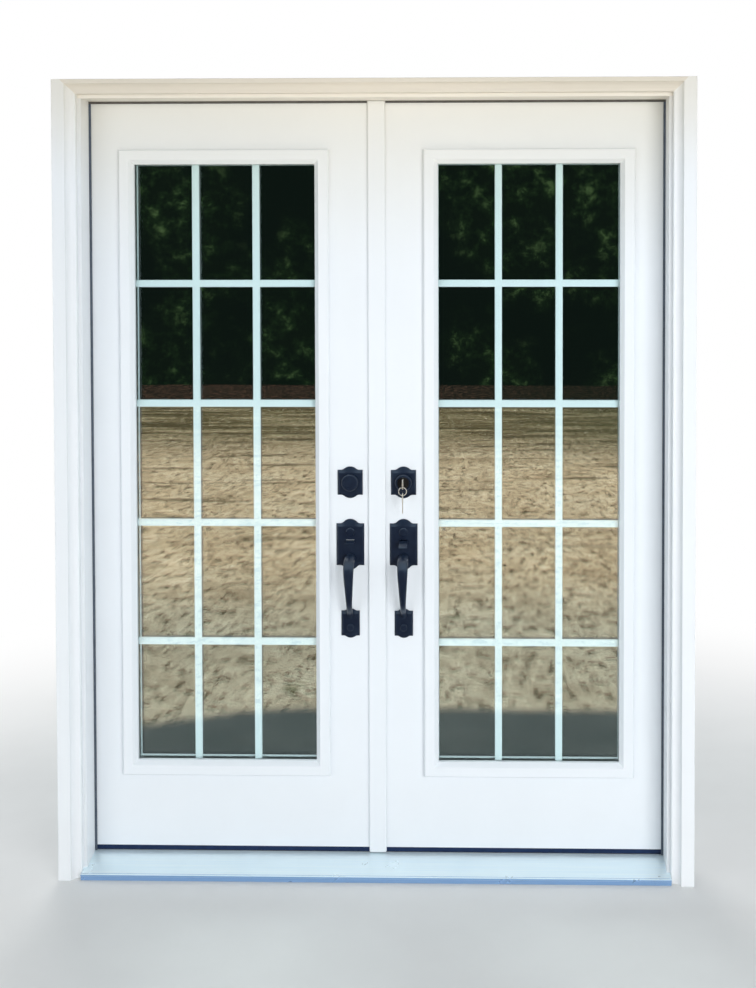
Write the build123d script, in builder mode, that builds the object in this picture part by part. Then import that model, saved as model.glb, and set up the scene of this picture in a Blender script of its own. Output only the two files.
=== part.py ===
from build123d import *
import math
import os

# French doors in their frame: two glazed leaves that open inwards, side and head jambs,
# brick mould, sill, hinges, astragal and handlesets.
# X runs across the opening, -Y is outdoors, Z is up from the underside of the sill.
# Y is 0 on the outdoor edge of the jambs, where the brick mould seats.

# Leaves
leaf_width = 762.0
leaf_height = 2007.0
leaf_thickness = 44.5
leaf_lift = 51.0
edge_gap = 3.0
meeting_gap = 22.0
slip = 0.3
touch = 0.05

# Jambs
jamb_depth = 116.0
jamb_board = 19.0
stop_proud = 11.1
rabbet_depth = 49.0

# Brick mould
mould_reveal = 9.0
mould_width = 58.0
mould_head_width = 36.5
mould_thick = 32.0
nose_width = 8.0
nose_thick = 16.0
nose_round = 3.0
cove_width = 16.5
mould_edge_round = 2.0

# Weatherstrips
kerf_width = 2.8
kerf_depth = 10.0
kerf_in = 5.0
strip_show = 6.0
strip_in = 7.6
strip_tail = 2.0
strip_tail_gap = 1.0
strip_head_gap = 1.5

# Sill
sill_front = 30.0
deck_wall = 2.0
deck_rear_z = 37.0
deck_front_z = 16.0
nose_bead = 3.0
nose_inset = 2.5
groove_in = 6.0
groove_width = 1.2
groove_depth = 0.9
cap_top_z = 38.5
cap_thick = 8.5
cap_depth = 40.0
cap_edge_cut = 1.5
cap_floor = 1.0
sweep_clear = 0.4
sweep_plate = 3.0
sweep_fin = 1.6
sweep_skirt = 3.0
sweep_inset = 1.5

# Glazing
lock_stile = 153.0
hinge_stile = 126.4
bottom_rail = 232.6
top_rail = 174.2
pane_lap = 12.7
cutout_lap = 25.4
frame_lap = 38.1
frame_proud = 12.0
frame_bevel = 11.0
frame_bevel_depth = 13.0
frame_edge_cut = 3.0
frame_fit = 1.0
pane_thickness = 3.2
unit_thickness = 22.0
spacer_in = 0.7
bar_width = 19.0
bar_thickness = 8.0
bar_round = 1.5
bar_spread_x = 3.4
bar_spread_z = 9.8
bars_down = 2
bars_across = 4

# Astragal
flange_left = 22.0
flange_right = 24.0
flange_thick = 8.0
flange_round = 3.0
flange_corner = 5.0
flange_head_gap = 1.0
stem_thick = 17.0
stem_back = 2.0
seal_relief = 2.0
seal_width = 12.0

# Hinges
hinge_height = 101.6
hinge_plate = 3.0
hinge_depth = 38.0
knuckle_radius = 6.5
pin_out = 7.0
pin_radius = 3.5
pin_clearance = 0.05
knuckles = 5
knuckle_gap = 0.4
hinge_top_drop = 229.0
hinge_bottom_lift = 305.0
tip_radius = 5.0
tip_height = 4.0
tip_cut = 1.2
screw_radius = 2.2
screw_head_radius = 4.4
screw_length = 16.0
screw_fit = 0.1

# Locks
backset = 60.3
bolt_lift = 985.0
bore_spacing = 139.7
cross_bore = 27.0
edge_bore = 12.7
face_width = 25.4
face_height = 57.0
face_thick = 2.5
case_radius = 12.4
case_length = 42.0
latch_width = 13.0
latch_height = 15.0
latch_throw = 12.7
bolt_width = 15.0
bolt_height = 18.0
bolt_throw = 25.4
bolt_length = 32.0
bolt_fit = 0.3
strike_thick = 1.5
strike_width = 28.0
pocket_extra = 1.5

# Handlesets
plate_thick = 6.0
plate_rim = 2.5
bevel_side = 5.0
bevel_end = 8.0
bolt_plate_width = 67.0
bolt_plate_shoulder = 66.5
bolt_plate_crest = 9.0
handle_plate_width = 74.0
handle_plate_shoulder = 112.0
handle_plate_crest = 12.0
handle_plate_drop = 26.5
foot_plate_width = 49.0
foot_plate_shoulder = 67.0
foot_plate_crest = 6.0
foot_plate_drop = 212.0
crest_share = 0.37
crest_hollow = 0.35
field_crest = 0.2
collar_radius = 22.0
collar_front = 18.0
collar_round = 3.0
collar_dish = 1.5
cylinder_radius = 15.5
cylinder_length = 32.0
plug_radius = 6.5
plug_length = 30.0
plug_proud = 0.5
plug_end = 2.0
dome_radius = 12.0
dome_front = 10.0
dome_round = 3.5
dome_rise = 33.0
thumb_rise = 11.2
thumb_width = 22.0
thumb_reach = 34.0
thumb_thick = 4.0
thumb_lip = 1.5
thumb_droop = 14.0
fixed_thumb_droop = 2.0
thumb_room = 2.0
thumb_pivot = 1.2
thumb_pin_reach = 3.0
thumb_slot = 14.0
thumb_tail = 20.0
thumb_tail_room = 10.0
grip_drop = 36.0
grip_out = 50.0
grip_wide_top = 28.0
grip_wide_low = 15.5
grip_thick_top = 15.0
grip_thick_low = 11.0
grip_root = 3.0
boss_radius = 9.5
boss_drop = 11.0
boss_front = 5.0
boss_round = 3.0

# Indoor trim
rose_radius = 32.5
rose_thick = 9.0
rose_round = 3.0
neck_radius = 10.0
neck_reach = 48.0
lever_length = 112.0
lever_thick = 12.0
lever_tall = 20.0
spindle_side = 7.5
turn_width = 34.0
turn_tall = 11.0
turn_reach = 24.0
turn_neck = 8.0
tail_bar = 5.0
tail_bar_gap = 4.0

# Keys
key_thick = 2.2
key_blade = 8.0
key_blade_length = 25.0
key_bow_length = 28.0
key_bow_tall = 26.0
key_bow_round = 7.0
key_slot_wide = 6.0
key_slot_tall = 18.0
key_slot_in = 8.0
key_out = 3.0
ring_wire = 1.1
ring_radius = 10.5
key_fit = 0.1

# Flush bolts
flush_radius = 4.5
flush_fit = 0.3
flush_length = 190.0
flush_throw = 16.0
flush_tab_tall = 14.0
flush_tab_wide = 7.0
flush_tab_proud = 1.2
flush_tab_drop = 150.0
flush_bore_extra = 6.0
flush_strike_thick = 1.5
flush_strike_side = 26.0

# Places worked out from the sizes
leaf_in = meeting_gap / 2
leaf_out = leaf_in + leaf_width
leaf_top = leaf_lift + leaf_height
rabbet_x = leaf_out + edge_gap
stop_x = rabbet_x - stop_proud
jamb_x = rabbet_x + jamb_board
face_y = jamb_depth - leaf_thickness
shoulder_y = jamb_depth - rabbet_depth
mid_y = face_y + leaf_thickness / 2
head_rabbet_z = leaf_top + edge_gap
head_stop_z = head_rabbet_z - stop_proud
head_top_z = head_rabbet_z + jamb_board
mould_x = stop_x + mould_reveal
mould_z = head_stop_z + mould_reveal
mould_top_z = mould_z + mould_head_width
cap_front = face_y + deck_wall + slip
cap_bottom_z = cap_top_z - cap_thick
sweep_bottom_z = cap_top_z + sweep_clear
sight_width = leaf_width - lock_stile - hinge_stile
sight_height = leaf_height - bottom_rail - top_rail
lite_x = leaf_in + lock_stile + sight_width / 2
lite_z = leaf_lift + bottom_rail + sight_height / 2
bar_pitch_x = (sight_width + bar_spread_x) / (bars_down + 1)
bar_pitch_z = (sight_height + bar_spread_z) / (bars_across + 1)
pane_out_y = mid_y - unit_thickness / 2
pane_in_y = mid_y + unit_thickness / 2
stem_right = stem_thick - leaf_in
axis_x = leaf_out + edge_gap / 2
axis_y = jamb_depth + pin_out
lock_x = leaf_in + backset
bolt_z = leaf_lift + bolt_lift
latch_z = bolt_z - bore_spacing
handle_z = latch_z - handle_plate_drop
foot_z = handle_z - foot_plate_drop
thumb_z = handle_z + thumb_rise
plate_y = face_y - plate_thick
strip_face_y = face_y - slip
flange_front = face_y - flange_thick
flange_bottom_z = cap_top_z + 2 * sweep_clear
flange_top_z = head_stop_z - flange_head_gap
hinge_top_z = leaf_top - hinge_top_drop
hinge_bottom_z = leaf_lift + hinge_bottom_lift
hinge_zs = [hinge_bottom_z, (hinge_bottom_z + hinge_top_z) / 2, hinge_top_z]
flush_x = stem_right - stem_thick / 2
plug_y = face_y - collar_front + collar_dish - plug_proud
key_face_y = plug_y - key_out
key_hole_y = key_face_y - key_bow_length + key_slot_in
ring_top_z = bolt_z - key_slot_tall / 2 + ring_wire + touch
ring_mid_z = ring_top_z - ring_radius
ring_low_z = ring_mid_z - ring_radius
CENTERED = (Align.CENTER, Align.CENTER, Align.MIN)

os.makedirs("parts", exist_ok=True)


def block(x0, x1, y0, y1, z0, z1, mode=Mode.ADD):
    """A box between two corners, in the part being built."""
    with Locations(((x0 + x1) / 2, (y0 + y1) / 2, (z0 + z1) / 2)):
        Box(abs(x1 - x0), abs(y1 - y0), abs(z1 - z0), mode=mode)


def rod(start, along, radius, length, mode=Mode.ADD):
    """A cylinder that starts at a point and runs along a direction."""
    with Locations(Plane(origin=start, z_dir=along)):
        Cylinder(radius, length, align=CENTERED, mode=mode)


def save(name, part):
    """Labels one finished piece and writes its file."""
    part.label = name
    export_step(part, f"parts/{name}.step")


# Frame of the opening

def side_jamb(side):
    """A jamb board with its stop, kerf and hinge mortises. Its stop ends under the head's stop."""
    with BuildPart() as jamb:
        block(side * rabbet_x, side * jamb_x, 0, jamb_depth, 0, head_top_z)
        block(side * stop_x, side * rabbet_x, 0, shoulder_y, 0, head_stop_z)
        kerf = stop_x + kerf_in
        block(
            side * (kerf - kerf_width / 2), side * (kerf + kerf_width / 2),
            shoulder_y - kerf_depth, shoulder_y, 0, head_stop_z, Mode.SUBTRACT,
        )
        for z in hinge_zs:
            block(
                side * rabbet_x, side * (rabbet_x + hinge_plate), jamb_depth - hinge_depth, jamb_depth,
                z - hinge_height / 2, z + hinge_height / 2, Mode.SUBTRACT,
            )
        for y, z in screw_places():
            rod((side * rabbet_x, y, z), (side, 0, 0), screw_radius + screw_fit, jamb_board - touch, Mode.SUBTRACT)
    return jamb.part


def head_jamb():
    """The head board between the side jambs, with its stop, kerf and flush bolt pocket."""
    with BuildPart() as jamb:
        block(-rabbet_x, rabbet_x, 0, jamb_depth, head_rabbet_z, head_top_z)
        block(-rabbet_x, rabbet_x, 0, shoulder_y, head_stop_z, head_rabbet_z)
        kerf = head_stop_z + kerf_in
        block(
            -rabbet_x, rabbet_x, shoulder_y - kerf_depth, shoulder_y,
            kerf - kerf_width / 2, kerf + kerf_width / 2, Mode.SUBTRACT,
        )
        rod((flush_x, mid_y, head_rabbet_z), (0, 0, 1), flush_radius + flush_fit, flush_throw, Mode.SUBTRACT)
        half = flush_strike_side / 2
        block(
            flush_x - half, flush_x + half, mid_y - half, mid_y + half,
            head_rabbet_z, head_rabbet_z + flush_strike_thick, Mode.SUBTRACT,
        )
    return jamb.part


def mould_section(plane, place, width):
    """The brick mould's outline: a rounded nose, a cove and a flat outer face."""
    shelf = nose_width + cove_width
    turn = nose_round * (1 - math.sqrt(0.5))
    hollow = (nose_width + 0.68 * cove_width, nose_thick + 0.34 * (mould_thick - nose_thick))
    edge = mould_edge_round * (1 - math.sqrt(0.5))
    with BuildSketch(plane) as outline:
        with BuildLine():
            Line(place(0, 0), place(0, nose_thick - nose_round))
            ThreePointArc(
                place(0, nose_thick - nose_round), place(turn, nose_thick - turn), place(nose_round, nose_thick)
            )
            Line(place(nose_round, nose_thick), place(nose_width, nose_thick))
            ThreePointArc(place(nose_width, nose_thick), place(*hollow), place(shelf, mould_thick))
            Line(place(shelf, mould_thick), place(width - mould_edge_round, mould_thick))
            ThreePointArc(
                place(width - mould_edge_round, mould_thick), place(width - edge, mould_thick - edge),
                place(width, mould_thick - mould_edge_round),
            )
            Line(place(width, mould_thick - mould_edge_round), place(width, 0))
            Line(place(width, 0), place(0, 0))
        make_face()
    return outline.sketch


def side_mould(side):
    """A side brick mould, mitred at its top as far as the narrower head mould reaches."""
    with BuildPart() as mould:
        section = mould_section(Plane.XY, lambda out, deep: (side * (mould_x + out), -deep), mould_width)
        extrude(section, amount=mould_top_z, dir=(0, 0, 1))
        with BuildSketch(Plane.XZ.offset(mould_thick)):
            with BuildLine():
                Polyline(
                    (side * mould_x, mould_z), (side * mould_x, mould_top_z),
                    (side * (mould_x + mould_head_width), mould_top_z), close=True,
                )
            make_face()
        extrude(amount=-mould_thick, mode=Mode.SUBTRACT)
    return mould.part


def head_mould():
    """The head brick mould, mitred at both ends."""
    reach = mould_x + mould_head_width
    with BuildPart() as mould:
        plane = Plane.YZ.offset(-reach)
        section = mould_section(plane, lambda out, deep: (-deep, mould_z + out), mould_head_width)
        extrude(section, amount=2 * reach, dir=(1, 0, 0))
        for side in (-1, 1):
            with BuildSketch(Plane.XZ.offset(mould_thick)):
                with BuildLine():
                    Polyline(
                        (side * mould_x, mould_z), (side * reach, mould_top_z), (side * reach, mould_z), close=True
                    )
                make_face()
            extrude(amount=-mould_thick, mode=Mode.SUBTRACT)
    return mould.part


def strip_section(plane, place):
    """A weatherstrip's outline: a bulb that shows past the stop, with its tail in the kerf."""
    deep = strip_face_y - shoulder_y
    with BuildSketch(plane) as outline:
        with BuildLine():
            Polyline(
                place(-strip_show + deep / 2, 0),
                place(kerf_in - strip_tail / 2, 0),
                place(kerf_in - strip_tail / 2, -(kerf_depth - strip_tail_gap)),
                place(kerf_in + strip_tail / 2, -(kerf_depth - strip_tail_gap)),
                place(kerf_in + strip_tail / 2, 0),
                place(strip_in, 0),
                place(strip_in, deep),
                place(-strip_show + deep / 2, deep),
            )
            ThreePointArc(
                place(-strip_show + deep / 2, deep), place(-strip_show, deep / 2),
                place(-strip_show + deep / 2, 0),
            )
        make_face()
    return outline.sketch


def side_strip(side):
    """A side weatherstrip, from the sill to the underside of the head's strip."""
    with BuildPart() as strip:
        plane = Plane.XY.offset(deck_rear_z + slip)
        section = strip_section(plane, lambda out, deep: (side * (stop_x + out), shoulder_y + deep))
        extrude(section, amount=head_stop_z - strip_show - deck_rear_z - 2 * slip, dir=(0, 0, 1))
    return strip.part


def head_strips():
    """The head weatherstrip in two lengths, one each side of the astragal's top."""
    reach = stop_x + strip_in
    ends = ((-reach, -flange_left - strip_head_gap), (flange_right + strip_head_gap, reach))
    with BuildPart() as strips:
        for start, end in ends:
            plane = Plane.YZ.offset(start)
            section = strip_section(plane, lambda out, deep: (shoulder_y + deep, head_stop_z + out))
            extrude(section, amount=end - start, dir=(1, 0, 0))
    return strips.part


def sill_trim():
    """Cuts the sill's ends back where the stops and the brick mould stand."""
    for side in (-1, 1):
        block(side * stop_x, side * jamb_x, 0, shoulder_y, 0, cap_top_z, Mode.SUBTRACT)
        block(side * mould_x, side * jamb_x, -2 * sill_front, 0, 0, cap_top_z, Mode.SUBTRACT)


def sill_outline():
    """The sill's outer section: a sloped deck that ends in a small bead over the nose."""
    front = -sill_front
    rear = face_y + deck_wall
    with BuildSketch(Plane.YZ.offset(-rabbet_x)) as outline:
        with BuildLine():
            Polyline((rear, 0), (rear, deck_rear_z), (front + nose_bead, deck_front_z))
            ThreePointArc(
                (front + nose_bead, deck_front_z), (front, deck_front_z - nose_bead),
                (front + nose_inset, deck_front_z - 2 * nose_bead),
            )
            Polyline((front + nose_inset, deck_front_z - 2 * nose_bead), (front + nose_inset, 0), (rear, 0))
        make_face()
    return outline.sketch


def deck_height(y):
    """The deck's height at a place from front to back."""
    front = -sill_front + nose_bead
    rear = face_y + deck_wall
    return deck_front_z + (deck_rear_z - deck_front_z) * (y - front) / (rear - front)


def sill_core():
    """The substrate's section under the deck's skin."""
    front = -sill_front + nose_inset + deck_wall
    with BuildSketch(Plane.YZ.offset(-rabbet_x)) as outline:
        with BuildLine():
            Polyline(
                (face_y, 0), (face_y, deck_height(face_y) - deck_wall),
                (front, deck_height(front) - deck_wall), (front, 0), close=True,
            )
        make_face()
    return outline.sketch


def sill_deck():
    """The metal skin of the sill, with a fine groove behind its bead."""
    groove = -sill_front + groove_in
    with BuildPart() as deck:
        extrude(sill_outline(), amount=2 * rabbet_x, dir=(1, 0, 0))
        extrude(sill_core(), amount=2 * rabbet_x, dir=(1, 0, 0), mode=Mode.SUBTRACT)
        block(-rabbet_x, rabbet_x, face_y, face_y + deck_wall, 0, cap_bottom_z, Mode.SUBTRACT)
        block(
            -rabbet_x, rabbet_x, groove - groove_width / 2, groove + groove_width / 2,
            deck_height(groove) - groove_depth, deck_height(groove) + groove_depth, Mode.SUBTRACT,
        )
        sill_trim()
    return deck.part


def sill_base():
    """The solid substrate under the deck and the threshold cap."""
    with BuildPart() as base:
        extrude(sill_core(), amount=2 * rabbet_x, dir=(1, 0, 0))
        block(-rabbet_x, rabbet_x, face_y, jamb_depth, 0, cap_bottom_z)
        sill_trim()
    return base.part


def threshold_cap():
    """The cap that the sweeps brush, with the pocket for the lower flush bolt."""
    with BuildPart() as cap:
        block(-rabbet_x, rabbet_x, cap_front, cap_front + cap_depth, cap_bottom_z, cap_top_z)
        chamfer(cap.edges().filter_by(Axis.X).group_by(Axis.Z)[-1], cap_edge_cut)
        rod((flush_x, mid_y, cap_bottom_z + cap_floor), (0, 0, 1), flush_radius + flush_fit, cap_thick, Mode.SUBTRACT)
        half = flush_strike_side / 2
        block(
            flush_x - half, flush_x + half, mid_y - half, mid_y + half,
            cap_top_z - flush_strike_thick, cap_top_z, Mode.SUBTRACT,
        )
    return cap.part


def flush_strikes():
    """The plates round the two flush bolt pockets, in the head and in the threshold cap."""
    half = flush_strike_side / 2
    with BuildPart() as strikes:
        for z in (head_rabbet_z, cap_top_z - flush_strike_thick):
            block(flush_x - half, flush_x + half, mid_y - half, mid_y + half, z, z + flush_strike_thick)
            rod((flush_x, mid_y, z), (0, 0, 1), flush_radius + flush_fit, flush_strike_thick, Mode.SUBTRACT)
    return strikes.part


# Hinges

def screw_places():
    """The hinge screws' places in Y and Z, four to a hinge."""
    near = jamb_depth - hinge_depth * 0.32
    far = jamb_depth - hinge_depth * 0.68
    for z in hinge_zs:
        for step, y in ((-0.37, near), (-0.14, far), (0.14, far), (0.37, near)):
            yield y, z + step * hinge_height


def knuckle_spans(z, first):
    """The Z ranges of one hinge plate's knuckles."""
    pitch = hinge_height / knuckles
    for index in range(first, knuckles, 2):
        low = z - hinge_height / 2 + index * pitch
        yield low + knuckle_gap / 2, low + pitch - knuckle_gap / 2


def hinge_plates(sides, inner, outer, first):
    """Three hinge plates a side between two X faces, with the knuckles that belong to them."""
    face = outer if outer < axis_x else inner
    way = 1 if outer < axis_x else -1
    with BuildPart() as plates:
        for side, z in [(side, z) for side in sides for z in hinge_zs]:
            block(
                side * inner, side * outer, jamb_depth - hinge_depth, jamb_depth,
                z - hinge_height / 2, z + hinge_height / 2,
            )
            for low, high in knuckle_spans(z, first):
                block(side * inner, side * outer, jamb_depth, axis_y, low, high)
                rod((side * axis_x, axis_y, low), (0, 0, 1), knuckle_radius, high - low)
                rod(
                    (side * axis_x, axis_y, low), (0, 0, 1), pin_radius + pin_clearance, high - low, Mode.SUBTRACT
                )
        for side in sides:
            for y, z in screw_places():
                with Locations(Plane(origin=(side * face, y, z), z_dir=(side * way, 0, 0))):
                    CounterSinkHole(screw_radius + screw_fit, screw_head_radius + screw_fit, hinge_plate + touch)
    return plates.part


def hinge_pins():
    """The six hinge pins with their tips."""
    with BuildPart() as pins:
        for side in (-1, 1):
            for z in hinge_zs:
                low = z - hinge_height / 2
                rod((side * axis_x, axis_y, low), (0, 0, 1), pin_radius, hinge_height)
                rod((side * axis_x, axis_y, low + hinge_height), (0, 0, 1), tip_radius, tip_height)
                rod((side * axis_x, axis_y, low - tip_height), (0, 0, 1), tip_radius, tip_height)
        chamfer(pins.edges().filter_by(GeomType.CIRCLE).filter_by(lambda e: abs(e.radius - tip_radius) < touch), tip_cut)
    return pins.part


def hinge_screws(sides, face, way):
    """Countersunk screws in the hinge plates of the given sides, with their heads on one X face."""
    neck = screw_head_radius - screw_radius
    with BuildPart() as screws:
        for side in sides:
            for y, z in screw_places():
                with BuildSketch(Plane(origin=(side * face, y, z), x_dir=(0, 1, 0), z_dir=(0, 0, 1))):
                    with BuildLine():
                        Polyline(
                            (0, 0), (screw_head_radius, 0), (screw_radius, side * way * neck),
                            (screw_radius, side * way * screw_length), (0, side * way * screw_length), close=True,
                        )
                    make_face()
                revolve(axis=Axis((side * face, y, z), (1, 0, 0)))
    return screws.part


# Leaves

def lite_ring(y0, y1, outer, inner, side, mode=Mode.ADD):
    """A rectangular ring round the glass, given how far its edges lie outside the sight size."""
    with BuildSketch(Plane.XZ.offset(-y0)) as ring:
        with Locations((side * lite_x, lite_z)):
            Rectangle(sight_width + 2 * outer, sight_height + 2 * outer)
            if inner is not None:
                Rectangle(sight_width + 2 * inner, sight_height + 2 * inner, mode=Mode.SUBTRACT)
    extrude(ring.sketch, amount=y1 - y0, dir=(0, 1, 0), mode=mode)


def slab(side):
    """A leaf with its glazing cut-out, hinge mortises and bores."""
    with BuildPart() as body:
        block(side * leaf_in, side * leaf_out, face_y, jamb_depth, leaf_lift, leaf_top)
        lite_ring(face_y, jamb_depth, cutout_lap, None, side, Mode.SUBTRACT)
        for z in hinge_zs:
            block(
                side * (leaf_out - hinge_plate), side * leaf_out, jamb_depth - hinge_depth, jamb_depth,
                z - hinge_height / 2, z + hinge_height / 2, Mode.SUBTRACT,
            )
        for y, z in screw_places():
            rod(
                (side * leaf_out, y, z), (-side, 0, 0), screw_radius + screw_fit,
                screw_length + touch, Mode.SUBTRACT,
            )
        if side > 0:
            active_bores()
        else:
            depth = bolt_throw + pocket_extra - meeting_gap
            pocket(-leaf_in - depth, -leaf_in, bolt_z, bolt_width, bolt_height)
    return body.part


def active_bores():
    """The cross bores, edge bores and mortises for the latch and the deadbolt."""
    for z in (latch_z, bolt_z):
        rod((lock_x, face_y, z), (0, 1, 0), cross_bore, leaf_thickness, Mode.SUBTRACT)
        rod((leaf_in, mid_y, z), (1, 0, 0), edge_bore, backset, Mode.SUBTRACT)
        block(
            leaf_in, leaf_in + face_thick, mid_y - face_width / 2, mid_y + face_width / 2,
            z - face_height / 2, z + face_height / 2, Mode.SUBTRACT,
        )
    block(
        lock_x - thumb_slot / 2, lock_x + thumb_slot / 2, face_y, face_y + thumb_tail + 4,
        thumb_z - thumb_thick - thumb_tail_room, latch_z, Mode.SUBTRACT,
    )


def pocket(x0, x1, z, wide, tall):
    """A pocket for a bolt that comes in along X."""
    block(
        x0, x1, mid_y - wide / 2 - 1, mid_y + wide / 2 + 1, z - tall / 2 - 1, z + tall / 2 + 1, Mode.SUBTRACT
    )


def lite_frame(side, outdoors):
    """Half of the raised frame that clamps the glass, bevelled towards the pane."""
    if outdoors:
        crest, seat, glass = face_y - frame_proud, face_y, pane_out_y
    else:
        crest, seat, glass = jamb_depth + frame_proud, jamb_depth, pane_in_y
    way = 1 if outdoors else -1
    angle = math.degrees(math.atan2(frame_bevel, frame_bevel_depth))
    with BuildPart() as ring:
        lite_ring(min(crest, seat), max(crest, seat), frame_lap, 0, side)
        lite_ring(min(seat, glass), max(seat, glass), cutout_lap - frame_fit, 0, side)
        face = ring.faces().filter_by(Axis.Y).sort_by(Axis.Y)[0 if outdoors else -1]
        chamfer(face.outer_wire().edges(), frame_edge_cut)
        with BuildSketch(Plane.XZ.offset(-crest)):
            with Locations((side * lite_x, lite_z)):
                Rectangle(sight_width + 2 * frame_bevel, sight_height + 2 * frame_bevel)
        extrude(amount=-way * frame_bevel_depth, taper=angle, mode=Mode.SUBTRACT)
    return ring.part


def panes(side):
    """The two sheets of glass."""
    with BuildPart() as glass:
        lite_ring(pane_out_y, pane_out_y + pane_thickness, pane_lap, None, side)
        lite_ring(pane_in_y - pane_thickness, pane_in_y, pane_lap, None, side)
    return glass.part


def spacer(side):
    """The spacer round the air gap of the sealed unit."""
    with BuildPart() as ring:
        lite_ring(
            pane_out_y + pane_thickness, pane_in_y - pane_thickness, pane_lap - frame_fit, spacer_in, side
        )
    return ring.part


def grille(side):
    """The flat bars between the two sheets of glass."""
    y0 = mid_y - bar_thickness / 2
    half_w = sight_width / 2 + spacer_in
    half_h = sight_height / 2 + spacer_in
    with BuildPart() as bars:
        for index in range(bars_down):
            x = side * lite_x + (index - (bars_down - 1) / 2) * bar_pitch_x
            block(
                x - bar_width / 2, x + bar_width / 2, y0, y0 + bar_thickness, lite_z - half_h, lite_z + half_h
            )
        for index in range(bars_across):
            z = lite_z + (index - (bars_across - 1) / 2) * bar_pitch_z
            block(
                side * lite_x - half_w, side * lite_x + half_w, y0, y0 + bar_thickness,
                z - bar_width / 2, z + bar_width / 2,
            )
        chamfer(bars.faces().filter_by(Axis.Y).edges().filter_by(lambda e: e.length > bar_width + 1), bar_round)
    return bars.part


def sweep(side):
    """The brush seal under a leaf: a plate, a front skirt and fins."""
    x0 = leaf_in + sweep_inset if side > 0 else leaf_in
    with BuildPart() as seal:
        block(
            side * x0, side * (leaf_out - sweep_inset), face_y + sweep_inset, jamb_depth - sweep_inset,
            leaf_lift - sweep_plate, leaf_lift,
        )
        block(
            side * x0, side * (leaf_out - sweep_inset), face_y + sweep_inset,
            face_y + sweep_inset + sweep_skirt, sweep_bottom_z, leaf_lift,
        )
        for step in (0.4, 0.65, 0.9):
            y = face_y + step * (leaf_thickness - 2 * sweep_inset)
            block(
                side * x0, side * (leaf_out - sweep_inset), y, y + sweep_fin, sweep_bottom_z, leaf_lift
            )
    return seal.part


# Astragal on the passive leaf

def astragal():
    """A T-shaped strip: a stem on the passive leaf's edge and a cover over the meeting gap."""
    with BuildPart() as strip:
        block(-flange_left, flange_right, flange_front, face_y, flange_bottom_z, flange_top_z)
        fillet(strip.edges().filter_by(Axis.Y).group_by(Axis.Z)[0], flange_corner)
        front = strip.faces().filter_by(Axis.Y).sort_by(Axis.Y)[0]
        fillet(front.edges().filter_by(lambda e: e.center().Z < flange_top_z - 1), flange_round)
        block(
            stem_right, flange_right, face_y - seal_relief, face_y, flange_bottom_z, flange_top_z, Mode.SUBTRACT
        )
        block(-leaf_in, stem_right, face_y, jamb_depth - stem_back, leaf_lift, leaf_top)
        pocket(stem_right - latch_throw + 1, stem_right, latch_z, latch_width, latch_height)
        pocket(-leaf_in, stem_right, bolt_z, bolt_width, bolt_height)
        for z in (latch_z, bolt_z):
            block(
                stem_right - strike_thick, stem_right, mid_y - strike_width / 2, mid_y + strike_width / 2,
                z - face_height / 2, z + face_height / 2, Mode.SUBTRACT,
            )
        for end, way in ((leaf_top, -1), (leaf_lift, 1)):
            rod(
                (flush_x, mid_y, end), (0, 0, way), flush_radius + flush_fit,
                flush_length + flush_bore_extra, Mode.SUBTRACT,
            )
            tab = end + way * flush_tab_drop
            travel = (tab - flush_tab_tall, tab + flush_tab_tall + flush_throw)
            if way > 0:
                travel = (tab - flush_tab_tall - flush_throw, tab + flush_tab_tall)
            block(
                flush_x, stem_right, mid_y - flush_tab_wide / 2 - slip, mid_y + flush_tab_wide / 2 + slip,
                *travel, Mode.SUBTRACT,
            )
    return strip.part


def astragal_seal():
    """The strip behind the cover that meets the active leaf."""
    with BuildPart() as seal:
        block(
            flange_right - seal_width, flange_right - 1, face_y - seal_relief, face_y - slip,
            leaf_lift, flange_top_z - 5,
        )
    return seal.part


def strikes():
    """The latch and deadbolt strike plates on the astragal's stem."""
    with BuildPart() as plates:
        for z, wide, tall in ((latch_z, latch_width, latch_height), (bolt_z, bolt_width, bolt_height)):
            block(
                stem_right - strike_thick, stem_right, mid_y - strike_width / 2, mid_y + strike_width / 2,
                z - face_height / 2, z + face_height / 2,
            )
            pocket(stem_right - strike_thick, stem_right, z, wide, tall)
    return plates.part


def flush_bolt(end, way):
    """A flush bolt in the astragal's stem: a rod with its finger tab, drawn in."""
    with BuildPart() as bolt:
        rod((flush_x, mid_y, end - way), (0, 0, -way), flush_radius, flush_length)
        tab = end - way * flush_tab_drop
        block(
            flush_x, stem_right + flush_tab_proud, mid_y - flush_tab_wide / 2, mid_y + flush_tab_wide / 2,
            tab - flush_tab_tall / 2, tab + flush_tab_tall / 2,
        )
    return bolt.part


# Handlesets

def crest_outline(plane, width, shoulder, crest):
    """A plate outline with square shoulders, and an ogee that rises to a crest at each end."""
    half = width / 2
    side_z = shoulder / 2
    foot = width * crest_share
    reach = (foot**2 + crest**2) / (2 * crest)
    hollow = reach * crest_hollow
    turn = math.asin(foot / reach)
    bend = (-foot + hollow * math.sin(turn), side_z + hollow * (1 - math.cos(turn)))
    dip = (-foot + hollow * math.sin(turn / 2), side_z + hollow * (1 - math.cos(turn / 2)))
    with BuildSketch(plane) as outline:
        with BuildLine():
            for end in (1, -1):
                Line((-half * end, 0), (-half * end, side_z * end))
                Line((-half * end, side_z * end), (-foot * end, side_z * end))
                ThreePointArc(
                    (-foot * end, side_z * end), (dip[0] * end, dip[1] * end), (bend[0] * end, bend[1] * end)
                )
                ThreePointArc(
                    (bend[0] * end, bend[1] * end), (0, (side_z + crest) * end), (-bend[0] * end, bend[1] * end)
                )
                ThreePointArc(
                    (-bend[0] * end, bend[1] * end), (-dip[0] * end, dip[1] * end), (foot * end, side_z * end)
                )
                Line((foot * end, side_z * end), (half * end, side_z * end))
                Line((half * end, side_z * end), (half * end, 0))
        make_face()
    return outline.sketch


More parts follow.
